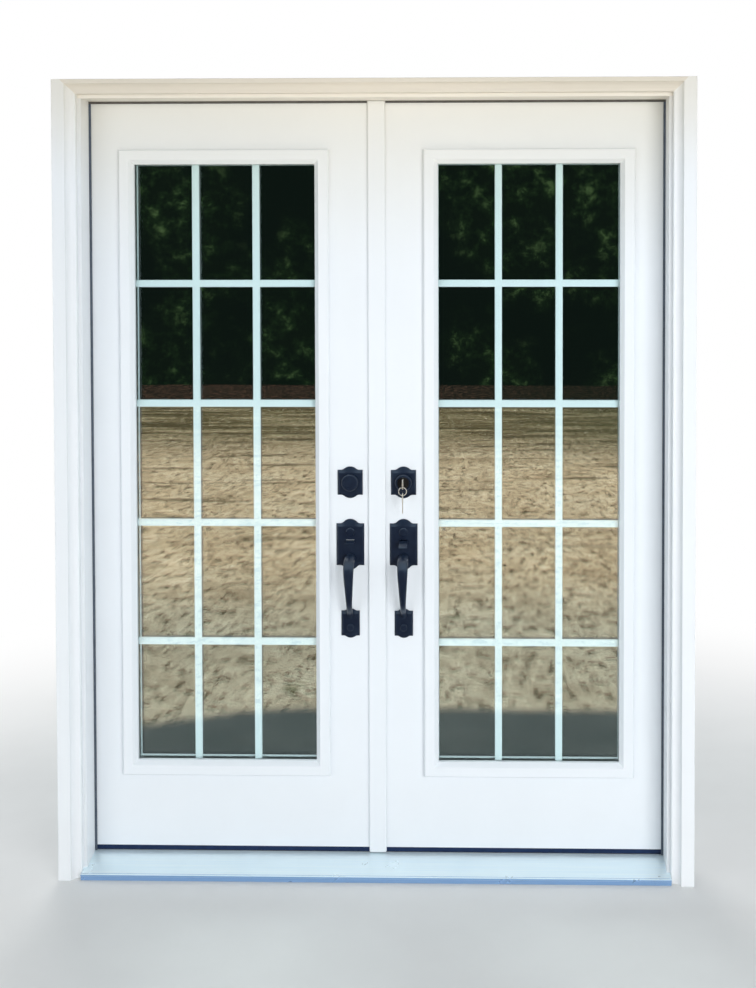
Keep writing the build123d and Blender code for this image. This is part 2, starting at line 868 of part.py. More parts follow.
def outdoor_plane(side, z, y=face_y):
    """A plane on the outdoor side whose normal points outdoors and whose Y is up."""
    return Plane(origin=(side * lock_x, y, z), x_dir=(1, 0, 0), z_dir=(0, -1, 0))


def crest_plate(side, z, width, shoulder, crest):
    """A crested plate: a thin rim, then a bevel that rises to a flat field."""
    rim = crest_outline(outdoor_plane(side, z), width, shoulder, crest)
    slope = crest_outline(outdoor_plane(side, z, face_y - plate_rim), width, shoulder, crest)
    field = crest_outline(
        outdoor_plane(side, z, plate_y), width - 2 * bevel_side, shoulder - 2 * bevel_end, crest * field_crest
    )
    extrude(rim, amount=plate_rim, dir=(0, -1, 0))
    loft([slope, field], ruled=True)


def bolt_plate(side):
    """The outdoor deadbolt plate with its collar. On the passive leaf the collar is closed."""
    with BuildPart() as plate:
        crest_plate(side, bolt_z, bolt_plate_width, bolt_plate_shoulder, bolt_plate_crest)
        with BuildSketch(outdoor_plane(side, bolt_z)):
            Circle(collar_radius)
        extrude(amount=collar_front)
        rim = plate.faces().sort_by(Axis.Y)[0]
        fillet(rim.edges(), collar_round)
        if side > 0:
            rod((lock_x, face_y, bolt_z), (0, -1, 0), cylinder_radius + slip, collar_front, Mode.SUBTRACT)
        else:
            rod((-lock_x, face_y - collar_front, bolt_z), (0, 1, 0), cylinder_radius, collar_dish, Mode.SUBTRACT)
    return plate.part


def lock_cylinder():
    """The fixed body of the lock cylinder, bored for its plug."""
    with BuildPart() as body:
        front = face_y - collar_front + collar_dish
        rod((lock_x, front, bolt_z), (0, 1, 0), cylinder_radius, cylinder_length)
        rod((lock_x, front, bolt_z), (0, 1, 0), plug_radius + pin_clearance, cylinder_length, Mode.SUBTRACT)
    return body.part


def lock_plug():
    """The plug that the key turns, with the flat tail that drives the bolt."""
    with BuildPart() as plug:
        rod((lock_x, plug_y, bolt_z), (0, 1, 0), plug_radius, plug_length)
        block(
            lock_x - key_thick / 2 - key_fit, lock_x + key_thick / 2 + key_fit,
            plug_y, plug_y + plug_length - plug_end,
            bolt_z - key_blade / 2 - key_fit, bolt_z + key_blade / 2 + key_fit, Mode.SUBTRACT,
        )
        block(
            lock_x - tail_bar / 2, lock_x + tail_bar / 2, plug_y + plug_length, jamb_depth - tail_bar_gap,
            bolt_z - tail_bar / 4, bolt_z + tail_bar / 4,
        )
    return plug.part


def key_shape(plane):
    """A key: a blade with cuts, and a rounded bow with an upright slot. The tip is along the plane's X."""
    bow_mid = -key_bow_length / 2
    with BuildPart() as key:
        with BuildSketch(plane):
            with Locations((bow_mid, 0)):
                RectangleRounded(key_bow_length, key_bow_tall, key_bow_round)
            with Locations((key_blade_length / 2 - 1, 0)):
                Rectangle(key_blade_length + 2, key_blade)
            with Locations((-key_bow_length + key_slot_in, 0)):
                SlotOverall(key_slot_tall, key_slot_wide, rotation=90, mode=Mode.SUBTRACT)
            for place in (0.35, 0.55, 0.75, 0.92):
                with Locations((key_blade_length * place, key_blade / 2)):
                    RegularPolygon(1.6, 3, rotation=-90, mode=Mode.SUBTRACT)
        extrude(amount=key_thick / 2, both=True)
    return key.part


def key_in_lock():
    """The key that stands in the plug."""
    return key_shape(Plane(origin=(lock_x, key_face_y, bolt_z), x_dir=(0, 1, 0), z_dir=(1, 0, 0)))


def spare_key():
    """The second key, which hangs from the ring by its slot."""
    hang = ring_low_z + ring_wire + touch - key_slot_wide / 2
    head = hang + key_slot_in - key_bow_length
    return key_shape(Plane(origin=(lock_x, key_hole_y, head), x_dir=(0, 0, -1), z_dir=(1, 0, 0)))


def key_ring():
    """The ring through both keys."""
    with BuildPart() as ring:
        with BuildSketch(Plane.YZ.offset(lock_x)):
            with Locations((key_hole_y, ring_top_z)):
                Circle(ring_wire)
        revolve(axis=Axis((lock_x, key_hole_y, ring_mid_z), (0, 1, 0)))
    return ring.part


def handle_plate(side):
    """The upper handle plate with its dome and the slot for its thumb piece."""
    with BuildPart() as plate:
        crest_plate(side, handle_z, handle_plate_width, handle_plate_shoulder, handle_plate_crest)
        with BuildSketch(outdoor_plane(side, handle_z + dome_rise)):
            Circle(dome_radius)
        extrude(amount=dome_front)
        rim = plate.faces().sort_by(Axis.Y)[0]
        fillet(rim.edges(), dome_round)
        slot_wide = thumb_width + 2 * slip
        block(
            side * lock_x - slot_wide / 2, side * lock_x + slot_wide / 2, plate_y, face_y,
            thumb_z - thumb_thick - thumb_room, thumb_z + thumb_room, Mode.SUBTRACT,
        )
        pin_half = thumb_width / 2 + thumb_pin_reach + slip
        rod(
            (side * lock_x - pin_half, face_y - plate_thick / 2, thumb_z - thumb_thick / 2), (1, 0, 0),
            thumb_pivot + pin_clearance, 2 * pin_half, Mode.SUBTRACT,
        )
    return plate.part


def thumb_body(side, droop):
    """The thumb piece: a curved tongue that comes out of the plate and dips to its lip."""
    x = side * lock_x
    root = plate_y + plate_thick / 2
    tip = plate_y - thumb_reach
    under = thumb_z - thumb_thick
    with BuildSketch(Plane.YZ.offset(x - thumb_width / 2)) as profile:
        with BuildLine():
            top = Spline(
                (root, thumb_z), (tip + 0.7 * thumb_reach, thumb_z - 0.1 * droop),
                (tip + 0.25 * thumb_reach, thumb_z - 0.5 * droop), (tip, thumb_z - droop),
            )
            low = Spline(
                (tip + thumb_lip, thumb_z - droop - thumb_lip),
                (tip + 0.3 * thumb_reach, thumb_z - 0.5 * droop - thumb_thick + 0.5),
                (tip + 0.72 * thumb_reach, under - 0.1 * droop), (root, under),
            )
            Line(top @ 1, low @ 0)
            Line(low @ 1, top @ 0)
        make_face()
    extrude(profile.sketch, amount=thumb_width, dir=(1, 0, 0))


def thumb_lever(side):
    """A thumb piece with its pivot pins. The active leaf's also has the tail that lifts the latch."""
    pin_half = thumb_width / 2 + thumb_pin_reach
    with BuildPart() as lever:
        thumb_body(side, thumb_droop if side > 0 else fixed_thumb_droop)
        rod(
            (side * lock_x - pin_half, face_y - plate_thick / 2, thumb_z - thumb_thick / 2), (1, 0, 0),
            thumb_pivot, 2 * pin_half,
        )
        if side > 0:
            tail_half = thumb_slot / 2 - slip * 10
            block(
                lock_x - tail_half, lock_x + tail_half, face_y - plate_thick / 2, face_y + thumb_tail,
                thumb_z - thumb_thick, thumb_z,
            )
    return lever.part


def grip_section(side, y, z, angle, wide, thick):
    """One oval section of the grip, square to its path."""
    tilt = math.radians(angle)
    normal = (0, -math.sin(tilt), -math.cos(tilt))
    with BuildSketch(Plane(origin=(side * lock_x, y, z), x_dir=(1, 0, 0), z_dir=normal)) as section:
        Ellipse(wide / 2, thick / 2)
    return section.sketch


def grip(side):
    """The pull: it leaves the upper plate, bows outdoors and comes back to its foot plate."""
    top_z = handle_z - grip_drop
    foot_top = foot_z + foot_plate_shoulder / 2
    mid_z = (top_z + foot_top) / 2
    mid_wide = (grip_wide_top + grip_wide_low) / 2
    with BuildPart() as pull:
        loft([
            grip_section(side, plate_y, top_z, 90, grip_wide_top, grip_thick_top + 5),
            grip_section(side, plate_y - grip_out * 0.58, top_z - 2, 68, grip_wide_top, grip_thick_top + 2),
            grip_section(side, plate_y - grip_out * 0.93, top_z - 18, 22, grip_wide_top, grip_thick_top),
            grip_section(side, plate_y - grip_out * 0.86, mid_z - 2, -6, mid_wide, grip_thick_top - 2),
            grip_section(side, plate_y - grip_out * 0.52, foot_top + 14, -26, grip_wide_low, grip_thick_low),
            grip_section(side, plate_y - grip_out * 0.23, foot_top - 2, -48, grip_wide_low, grip_thick_low),
            grip_section(side, plate_y + grip_root, foot_top - 16, -50, grip_wide_low, grip_thick_low),
        ])
        crest_plate(side, foot_z, foot_plate_width, foot_plate_shoulder, foot_plate_crest)
        boss_start = face_y - plate_thick / 2
        rod(
            (side * lock_x, boss_start, foot_z - boss_drop), (0, -1, 0), boss_radius,
            boss_start - plate_y + boss_front,
        )
        rim = pull.edges().filter_by(GeomType.CIRCLE).filter_by(lambda e: abs(e.radius - boss_radius) < touch)
        fillet(rim.sort_by(Axis.Y)[0], boss_round)
        block(
            side * lock_x - handle_plate_width, side * lock_x + handle_plate_width, face_y, jamb_depth,
            foot_z - foot_plate_shoulder, top_z + grip_wide_top, Mode.SUBTRACT,
        )
    return pull.part


# Indoor trim

def rose(places):
    """Round plates on the indoor face, bored for the lever's neck or the turn."""
    with BuildPart() as plates:
        for side, z in places:
            rod((side * lock_x, jamb_depth, z), (0, 1, 0), rose_radius, rose_thick)
        fillet(plates.faces().filter_by(Axis.Y).group_by(Axis.Y)[-1].edges(), rose_round)
        for side, z in places:
            bore = neck_radius if z == latch_z else turn_neck
            rod((side * lock_x, jamb_depth, z), (0, 1, 0), bore + pin_clearance, rose_thick, Mode.SUBTRACT)
    return plates.part


def inner_lever(side):
    """The indoor lever: a neck, a tapered arm towards the hinges and a square spindle."""
    x = side * lock_x
    end_y = jamb_depth + neck_reach
    tip = x + side * lever_length
    with BuildPart() as lever:
        rod((x, jamb_depth + 0.5, latch_z), (0, 1, 0), neck_radius, neck_reach + lever_thick / 2)
        with BuildSketch(Plane.XZ.offset(-(end_y - lever_thick / 2))):
            with BuildLine():
                Polyline(
                    (x, latch_z + lever_tall / 2), (tip, latch_z + lever_tall / 3),
                    (tip, latch_z - lever_tall / 3), (x, latch_z - lever_tall / 2), close=True,
                )
            make_face()
        extrude(amount=-lever_thick)
        fillet(lever.edges().filter_by(Axis.Y).sort_by(Axis.X)[-2 if side > 0 else 0], 4)
        if side > 0:
            block(
                x - spindle_side / 2, x + spindle_side / 2, mid_y - 12, jamb_depth + 0.5,
                latch_z - spindle_side / 2, latch_z + spindle_side / 2,
            )
    return lever.part


def thumbturn():
    """The indoor turn, shown level with the bolt drawn in."""
    start = jamb_depth + 0.5
    with BuildPart() as turn:
        rod((lock_x, start, bolt_z), (0, 1, 0), turn_neck, rose_thick + 4)
        block(
            lock_x - turn_tall / 2, lock_x + turn_tall / 2, start + rose_thick + 2, start + rose_thick + turn_reach,
            bolt_z - turn_width / 2, bolt_z + turn_width / 2,
        )
        fillet(turn.edges().filter_by(Axis.Y).group_by(Axis.Y)[-1], 3)
    return turn.part


# Latch and deadbolt of the active leaf

def bolt_cases():
    """The latch and deadbolt cases with their face plates."""
    with BuildPart() as cases:
        for z, wide, tall in ((latch_z, latch_width, latch_height), (bolt_z, bolt_width, bolt_height)):
            block(
                leaf_in, leaf_in + face_thick, mid_y - face_width / 2, mid_y + face_width / 2,
                z - face_height / 2, z + face_height / 2,
            )
            rod((leaf_in + face_thick, mid_y, z), (1, 0, 0), case_radius, case_length)
            block(
                leaf_in, leaf_in + face_thick + case_length, mid_y - wide / 2 - bolt_fit,
                mid_y + wide / 2 + bolt_fit, z - tall / 2 - bolt_fit, z + tall / 2 + bolt_fit, Mode.SUBTRACT,
            )
    return cases.part


def sliding_bolt(z, wide, tall, bevel):
    """A bolt drawn in flush with its face plate."""
    with BuildPart() as bolt:
        block(leaf_in + touch, leaf_in + bolt_length, mid_y - wide / 2, mid_y + wide / 2, z - tall / 2, z + tall / 2)
        nose = bolt.edges().filter_by(Axis.Z).group_by(Axis.X)[0].sort_by(Axis.Y)
        chamfer(nose[0] if bevel else nose, wide * 0.6 if bevel else 1)
    return bolt.part


sides = (("left", -1), ("right", 1))

save("jamb_hinge_plates", hinge_plates((-1, 1), rabbet_x, rabbet_x + hinge_plate, 0))
for name, side in sides:
    save(f"side_jamb_{name}", side_jamb(side))
    save(f"brick_mould_{name}", side_mould(side))
    save(f"weatherstrip_{name}", side_strip(side))
    save(f"{name}_slab", slab(side))
    save(f"{name}_lite_frame_outdoor", lite_frame(side, True))
    save(f"{name}_lite_frame_indoor", lite_frame(side, False))
    save(f"{name}_panes", panes(side))
    save(f"{name}_spacer", spacer(side))
    save(f"{name}_grille", grille(side))
    save(f"{name}_sweep", sweep(side))
    save(f"{name}_hinge_plates", hinge_plates([side], leaf_out - hinge_plate, leaf_out, 1))
    save(f"{name}_hinge_screws", hinge_screws([side], leaf_out, 1))
    save(f"{name}_deadbolt_plate", bolt_plate(side))
    save(f"{name}_handle_plate", handle_plate(side))
    save(f"{name}_grip", grip(side))
    save(f"{name}_indoor_lever", inner_lever(side))

save("head_jamb", head_jamb())
save("brick_mould_head", head_mould())
save("weatherstrip_head", head_strips())
save("sill_base", sill_base())
save("sill_deck", sill_deck())
save("threshold_cap", threshold_cap())
save("flush_bolt_strikes", flush_strikes())
save("hinge_pins", hinge_pins())
save("jamb_hinge_screws", hinge_screws((-1, 1), rabbet_x, -1))
save("astragal", astragal())
save("astragal_seal", astragal_seal())
save("astragal_strikes", strikes())
save("flush_bolt_top", flush_bolt(leaf_top, 1))
save("flush_bolt_bottom", flush_bolt(leaf_lift, -1))
save("lock_cylinder", lock_cylinder())
save("lock_plug", lock_plug())
save("key", key_in_lock())
save("key_ring", key_ring())
save("spare_key", spare_key())
save("thumb_lever", thumb_lever(1))
save("fixed_thumb_piece", thumb_lever(-1))
save("left_indoor_rose", rose([(-1, latch_z)]))
save("right_indoor_roses", rose([(1, latch_z), (1, bolt_z)]))
save("thumbturn", thumbturn())
save("bolt_cases", bolt_cases())
save("latch_bolt", sliding_bolt(latch_z, latch_width, latch_height, True))
save("deadbolt", sliding_bolt(bolt_z, bolt_width, bolt_height, False))
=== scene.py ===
import math

import bpy
from mathutils import Matrix, Vector

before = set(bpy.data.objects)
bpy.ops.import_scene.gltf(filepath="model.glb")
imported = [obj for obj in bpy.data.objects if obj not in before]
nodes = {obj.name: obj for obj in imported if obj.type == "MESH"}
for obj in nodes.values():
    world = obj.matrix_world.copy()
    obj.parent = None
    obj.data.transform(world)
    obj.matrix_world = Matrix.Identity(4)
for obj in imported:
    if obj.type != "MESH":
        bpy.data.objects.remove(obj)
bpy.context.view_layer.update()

X, Y, Z = 0, 1, 2


# Node helpers

def new_material(name):
    """A material with a Principled shader and its output."""
    material = bpy.data.materials.new(name)
    material.use_nodes = True
    tree = material.node_tree
    tree.nodes.clear()
    output = tree.nodes.new("ShaderNodeOutputMaterial")
    shader = tree.nodes.new("ShaderNodeBsdfPrincipled")
    tree.links.new(shader.outputs[0], output.inputs["Surface"])
    return material, tree, shader


def feed(tree, socket, value):
    """Sets a socket to a number or a colour, or links a node's output to it."""
    if isinstance(value, (int, float)):
        socket.default_value = value
    elif isinstance(value, tuple):
        socket.default_value = (*value, 1)
    else:
        tree.links.new(value, socket)


def object_coords(tree, scale=(1, 1, 1)):
    """The part's own coordinates in metres, scaled."""
    coords = tree.nodes.new("ShaderNodeTexCoord")
    mapping = tree.nodes.new("ShaderNodeMapping")
    mapping.inputs["Scale"].default_value = scale
    tree.links.new(coords.outputs["Object"], mapping.inputs["Vector"])
    return mapping.outputs[0]


def noise(tree, vector, scale, detail=3.0, roughness=0.55):
    """A noise value from 0 to 1."""
    node = tree.nodes.new("ShaderNodeTexNoise")
    node.inputs["Scale"].default_value = scale
    node.inputs["Detail"].default_value = detail
    node.inputs["Roughness"].default_value = roughness
    tree.links.new(vector, node.inputs["Vector"])
    return node.outputs["Fac"]


def ramp(tree, value, stops):
    """A colour ramp over a value."""
    node = tree.nodes.new("ShaderNodeValToRGB")
    while len(node.color_ramp.elements) < len(stops):
        node.color_ramp.elements.new(0.5)
    for element, (place, colour) in zip(node.color_ramp.elements, stops):
        element.position = place
        element.color = (*colour, 1)
    tree.links.new(value, node.inputs["Fac"])
    return node.outputs["Color"]


def blend(tree, factor, first, second, mode="MIX"):
    """Mixes two colours."""
    node = tree.nodes.new("ShaderNodeMix")
    node.data_type = "RGBA"
    node.blend_type = mode
    feed(tree, node.inputs[0], factor)
    feed(tree, node.inputs[6], first)
    feed(tree, node.inputs[7], second)
    return node.outputs[2]


def math_node(tree, operation, first, second):
    """One math step."""
    node = tree.nodes.new("ShaderNodeMath")
    node.operation = operation
    feed(tree, node.inputs[0], first)
    feed(tree, node.inputs[1], second)
    return node.outputs[0]


def span(tree, value, low, high, to_low=0.0, to_high=1.0):
    """Maps a value from one range to another, smoothly and clamped."""
    node = tree.nodes.new("ShaderNodeMapRange")
    node.interpolation_type = "SMOOTHSTEP"
    node.inputs["From Min"].default_value = low
    node.inputs["From Max"].default_value = high
    node.inputs["To Min"].default_value = to_low
    node.inputs["To Max"].default_value = to_high
    tree.links.new(value, node.inputs["Value"])
    return node.outputs[0]


def axis_value(tree, axis):
    """One of the part's own coordinates, in metres."""
    coords = tree.nodes.new("ShaderNodeTexCoord")
    split = tree.nodes.new("ShaderNodeSeparateXYZ")
    tree.links.new(coords.outputs["Object"], split.inputs[0])
    return split.outputs[axis]


def facing_value(tree, axis):
    """How far the surface faces along one axis, from -1 to 1."""
    geometry = tree.nodes.new("ShaderNodeNewGeometry")
    split = tree.nodes.new("ShaderNodeSeparateXYZ")
    tree.links.new(geometry.outputs["Normal"], split.inputs[0])
    return split.outputs[axis]


def bump(tree, shader, height, strength, distance):
    """Adds a bump to a shader, over any that it has."""
    node = tree.nodes.new("ShaderNodeBump")
    node.inputs["Strength"].default_value = strength
    node.inputs["Distance"].default_value = distance
    tree.links.new(height, node.inputs["Height"])
    normal = shader.inputs["Normal"]
    if normal.links:
        tree.links.new(normal.links[0].from_socket, node.inputs["Normal"])
    tree.links.new(node.outputs[0], normal)


def light_shader(tree, kind, colour, strength=1.0):
    """An Emission or Background shader."""
    node = tree.nodes.new(f"ShaderNode{kind}")
    feed(tree, node.inputs["Color"], colour)
    node.inputs["Strength"].default_value = strength
    return node.outputs[0]


def mix_shader(tree, factor, first, second):
    """Mixes two shaders."""
    node = tree.nodes.new("ShaderNodeMixShader")
    for socket, source in zip(node.inputs, (factor, first, second)):
        tree.links.new(source, socket)
    return node.outputs[0]


def times(colour, factor):
    """A colour made darker or lighter."""
    return tuple(min(1, channel * factor) for channel in colour)


def dress(material, *names):
    """Gives CAD nodes their material."""
    for name in names:
        mesh = nodes[name].data
        mesh.materials.clear()
        mesh.materials.append(material)


# Materials

DUST_COLOUR = (0.42, 0.38, 0.32)
SPLASH_COLOUR = (0.5, 0.46, 0.4)
SPLASH_TOP_Z = 0.35
SPLASH_SHARE = 2.2
# Painted shade: a warm darker tint towards the top of the white parts, as under an eave
EAVE_SHADE_TINT = (0.95, 0.885, 0.775)
EAVE_SHADE_TOP_Z = 2.12


def white_paint(name, colour, roughness, stroke, peel, grime=0.04, eave_shade_from=1.55):
    """White paint with faint brush strokes, slow unevenness, a little dust, splashes near the
    sill, and a painted warm shade towards the top, as under an eave."""
    material, tree, shader = new_material(name)
    slow = noise(tree, object_coords(tree), 1.7, 4)
    base = ramp(tree, slow, [(0.3, times(colour, 0.965)), (0.7, colour)])
    specks = noise(tree, object_coords(tree), 46, 6, 0.7)
    base = blend(tree, span(tree, specks, 0.62, 0.8, 0.0, grime), base, DUST_COLOUR)
    low = span(tree, axis_value(tree, Z), 0.0, SPLASH_TOP_Z, grime * SPLASH_SHARE, 0.0)
    patchy = math_node(tree, "MULTIPLY", low, noise(tree, object_coords(tree), 9, 5))
    base = blend(tree, patchy, base, SPLASH_COLOUR)
    # Painted warm eave shade towards the top, on all faces but those that face up
    upright = span(tree, facing_value(tree, Z), 0.6, 0.9, 1.0, 0.0)
    high = span(tree, axis_value(tree, Z), eave_shade_from, EAVE_SHADE_TOP_Z)
    base = blend(tree, math_node(tree, "MULTIPLY", upright, high), base, EAVE_SHADE_TINT, "MULTIPLY")
    feed(tree, shader.inputs["Base Color"], base)
    brushed = noise(tree, object_coords(tree, stroke), 1.0, 5)
    dull = span(tree, brushed, 0.3, 0.7, roughness - 0.05, roughness + 0.07)
    feed(tree, shader.inputs["Roughness"], dull)
    shader.inputs["Specular IOR Level"].default_value = 0.42
    bump(tree, shader, noise(tree, object_coords(tree, stroke), 1.0, 4), 0.09, 0.0006)
    bump(tree, shader, noise(tree, object_coords(tree), peel, 2), 0.05, 0.0003)
    return material


def black_metal(name):
    """Black powder coat with a painted blue sky reflection in its colour, a fine grain and an
    uneven gloss.
    """
    material, tree, shader = new_material(name)
    cloud = noise(tree, object_coords(tree), 38, 4)
    # The blue in these blacks is painted sky reflection
    base = ramp(tree, cloud, [(0.35, (0.004, 0.011, 0.03)), (0.7, (0.01, 0.021, 0.045))])
    feed(tree, shader.inputs["Base Color"], base)
    dull = span(tree, noise(tree, object_coords(tree), 120, 3), 0.3, 0.7, 0.28, 0.44)
    feed(tree, shader.inputs["Roughness"], dull)
    shader.inputs["Specular IOR Level"].default_value = 0.7
    shader.inputs["Coat Weight"].default_value = 0.4
    shader.inputs["Coat Roughness"].default_value = 0.22
    bump(tree, shader, noise(tree, object_coords(tree), 1500, 2), 0.12, 0.0002)
    return material


def metal(name, bright, dark, roughness, stretch, metallic=1.0):
    """Metal with fine lines along its length and dull patches."""
    material, tree, shader = new_material(name)
    lines = noise(tree, object_coords(tree, stretch), 1.0, 6, 0.65)
    base = ramp(tree, lines, [(0.3, dark), (0.7, bright)])
    cloud = noise(tree, object_coords(tree), 7, 5)
    base = blend(tree, span(tree, cloud, 0.5, 0.8, 0.0, 0.25), base, dark)
    feed(tree, shader.inputs["Base Color"], base)
    shader.inputs["Metallic"].default_value = metallic
    dull = span(tree, cloud, 0.3, 0.75, roughness - 0.07, roughness + 0.1)
    feed(tree, shader.inputs["Roughness"], dull)
    bump(tree, shader, lines, 0.12, 0.0003)
    return material


def mill_finish(name, bright, dull, edge):
    """Rolled aluminium with lines along its length, with painted sky reflection and painted blue
    shade where it faces outdoors.
    """
    material, tree, shader = new_material(name)
    lines = noise(tree, object_coords(tree, (3, 340, 340)), 1.0, 6, 0.65)
    base = ramp(tree, lines, [(0.3, dull), (0.7, bright)])
    cloud = noise(tree, object_coords(tree), 7, 5)
    base = blend(tree, span(tree, cloud, 0.5, 0.8, 0.0, 0.3), base, dull)
    # Painted shade: faces that face outdoors turn to the dark blue edge colour
    painted_shade_front = span(tree, facing_value(tree, Y), -0.95, -0.55, 0.92, 0.0)
    feed(tree, shader.inputs["Base Color"], blend(tree, painted_shade_front, base, edge))
    shader.inputs["Metallic"].default_value = 0.45
    feed(tree, shader.inputs["Roughness"], span(tree, cloud, 0.3, 0.75, 0.26, 0.42))
    bump(tree, shader, lines, 0.1, 0.0003)
    return material


def rubber(name, colour, roughness=0.75):
    """A seal with a fine skin."""
    material, tree, shader = new_material(name)
    cloud = noise(tree, object_coords(tree), 60, 5)
    base = ramp(tree, cloud, [(0.3, times(colour, 0.8)), (0.75, times(colour, 1.15))])
    feed(tree, shader.inputs["Base Color"], base)
    shader.inputs["Roughness"].default_value = roughness
    shader.inputs["Specular IOR Level"].default_value = 0.3
    bump(tree, shader, noise(tree, object_coords(tree), 900, 3), 0.2, 0.0004)
    return material


def composite(name, colour):
    """A moulded wood-fibre board with short pale fibres."""
    material, tree, shader = new_material(name)
    fibres = noise(tree, object_coords(tree, (40, 420, 420)), 1.0, 6, 0.7)
    base = ramp(tree, fibres, [(0.3, times(colour, 0.7)), (0.7, times(colour, 1.25))])
    feed(tree, shader.inputs["Base Color"], base)
    shader.inputs["Roughness"].default_value = 0.7
    bump(tree, shader, fibres, 0.25, 0.0004)
    return material


GLASS_IOR = 1.5
GLASS_TINT = (0.955, 0.996, 0.995)
# The step between the panes lies inside the gap, so each pane has one share
PANE_GAP_Y, PANE_GAP_HALF = 0.0937, 0.002
OUTDOOR_SHARE, INDOOR_SHARE = 0.7, 1.3


def clear_glass(name):
    """Clear float glass that mirrors alike from both of its sides. The coated indoor pane
    mirrors more than the outdoor one. Lamps and diffuse light pass in full."""
    material, tree, shader = new_material(name)
    tree.nodes.remove(shader)
    see = tree.nodes.new("ShaderNodeBsdfTransparent")
    feed(tree, see.inputs["Color"], GLASS_TINT)
    shine = tree.nodes.new("ShaderNodeBsdfGlossy")
    shine.inputs["Roughness"].default_value = 0.0
    feed(tree, shine.inputs["Color"], (1, 1, 1))
    back = tree.nodes.new("ShaderNodeNewGeometry").outputs["Backfacing"]
    front = math_node(tree, "SUBTRACT", 1.0, back)
    shares = []
    for index, facing in ((GLASS_IOR, front), (1 / GLASS_IOR, back)):
        angle = tree.nodes.new("ShaderNodeFresnel")
        angle.inputs["IOR"].default_value = index
        shares.append(math_node(tree, "MULTIPLY", angle.outputs[0], facing))
    smears = span(tree, noise(tree, object_coords(tree), 5, 6, 0.7), 0.45, 0.8, 0.005, 0.02)
    share = math_node(tree, "ADD", math_node(tree, "ADD", *shares), smears)
    coated = span(
        tree, axis_value(tree, Y), PANE_GAP_Y - PANE_GAP_HALF, PANE_GAP_Y + PANE_GAP_HALF,
        OUTDOOR_SHARE, INDOOR_SHARE,
    )
    share = math_node(tree, "MULTIPLY", share, coated)
    path = tree.nodes.new("ShaderNodeLightPath")
    passing = math_node(tree, "ADD", path.outputs["Is Shadow Ray"], path.outputs["Is Diffuse Ray"])
    share = math_node(tree, "MULTIPLY", share, math_node(tree, "SUBTRACT", 1.0, passing))
    mixed = mix_shader(tree, share, see.outputs[0], shine.outputs[0])
    feed(tree, tree.nodes["Material Output"].inputs["Surface"], mixed)
    bump(tree, shine, noise(tree, object_coords(tree), 2.2, 2), 0.05, 0.002)
    return material


LEAF_WHITE = (0.85, 0.885, 0.92)
dress(
    white_paint("door_paint", LEAF_WHITE, roughness=0.38, stroke=(220, 220, 14), peel=520),
    "left_slab", "right_slab", "astragal",
)
dress(
    white_paint(
        "side_frame_paint", (0.87, 0.895, 0.92), roughness=0.42, stroke=(300, 300, 6), peel=380,
        grime=0.05, eave_shade_from=1.8,
    ),
    "side_jamb_left", "side_jamb_right", "brick_mould_left", "brick_mould_right",
)
for node_name, paint_name, colour in (
    # The head jamb's colour is lighter to paint in bounce light on its underside
    ("head_jamb", "head_frame_paint_bounce_lit", (0.92, 0.915, 0.9)),
    # The head mould's colour is darker and warmer to paint in the shade under an eave
    ("brick_mould_head", "head_mould_paint_shaded", (0.8, 0.775, 0.735)),
):
    dress(
        white_paint(
            paint_name, colour, roughness=0.42, stroke=(6, 300, 300), peel=380, grime=0.05
        ),
        node_name,
    )
dress(
    white_paint(
        "lite_frame_plastic", LEAF_WHITE, roughness=0.34, stroke=(90, 90, 20), peel=900, grime=0.02
    ),
    "left_lite_frame_outdoor", "left_lite_frame_indoor", "right_lite_frame_outdoor",
    "right_lite_frame_indoor",
)
dress(
    white_paint(
        "grille_paint", (0.78, 0.86, 0.885), roughness=0.4, stroke=(60, 60, 60), peel=700,
        grime=0.0,
    ),
    "left_grille", "right_grille",
)
dress(rubber("weatherstrip_skin", (0.09, 0.11, 0.14)), "weatherstrip_left", "weatherstrip_right")
dress(rubber("head_strip_skin", (0.12, 0.11, 0.095)), "weatherstrip_head")
# The sweep's blue is painted sky reflection on black rubber
dress(rubber("sweep_rubber_painted_sky", (0.009, 0.024, 0.075), roughness=0.6), "left_sweep", "right_sweep")
dress(rubber("seal_white", (0.78, 0.78, 0.75), roughness=0.6), "astragal_seal")
dress(
    # The blue in the deck colours is painted sky reflection; the edge colour is painted shade on
    # the nose
    mill_finish(
        "sill_aluminium_painted_sky_and_shade", bright=(0.87, 0.98, 1.0), dull=(0.77, 0.92, 1.0),
        edge=(0.21, 0.38, 0.66),
    ),
    "sill_deck",
)
dress(composite("sill_board", (0.3, 0.27, 0.22)), "sill_base")
# The cap is coloured near black to paint the shade in the gap under the leaves
dress(composite("cap_board_painted_shade", (0.035, 0.045, 0.065)), "threshold_cap")
dress(
    metal(
        "hinge_satin", bright=(0.66, 0.65, 0.63), dark=(0.5, 0.49, 0.47), roughness=0.32,
        stretch=(30, 30, 900),
    ),
    "jamb_hinge_plates", "jamb_hinge_screws", "hinge_pins", "left_hinge_plates",
    "right_hinge_plates", "left_hinge_screws", "right_hinge_screws", "flush_bolt_strikes",
    "astragal_strikes", "bolt_cases", "latch_bolt", "deadbolt", "flush_bolt_top",
    "flush_bolt_bottom",
)
dress(
    metal(
        "spacer_metal", bright=(0.7, 0.7, 0.7), dark=(0.55, 0.55, 0.55), roughness=0.4,
        stretch=(40, 40, 40),
    ),
    "left_spacer", "right_spacer",
)
dress(
    black_metal("black_coat_painted_sky_blue"), "left_deadbolt_plate", "right_deadbolt_plate", "left_handle_plate",
    "right_handle_plate", "left_grip", "right_grip", "left_indoor_rose", "right_indoor_roses",
    "left_indoor_lever", "right_indoor_lever", "thumbturn", "thumb_lever", "fixed_thumb_piece",
)
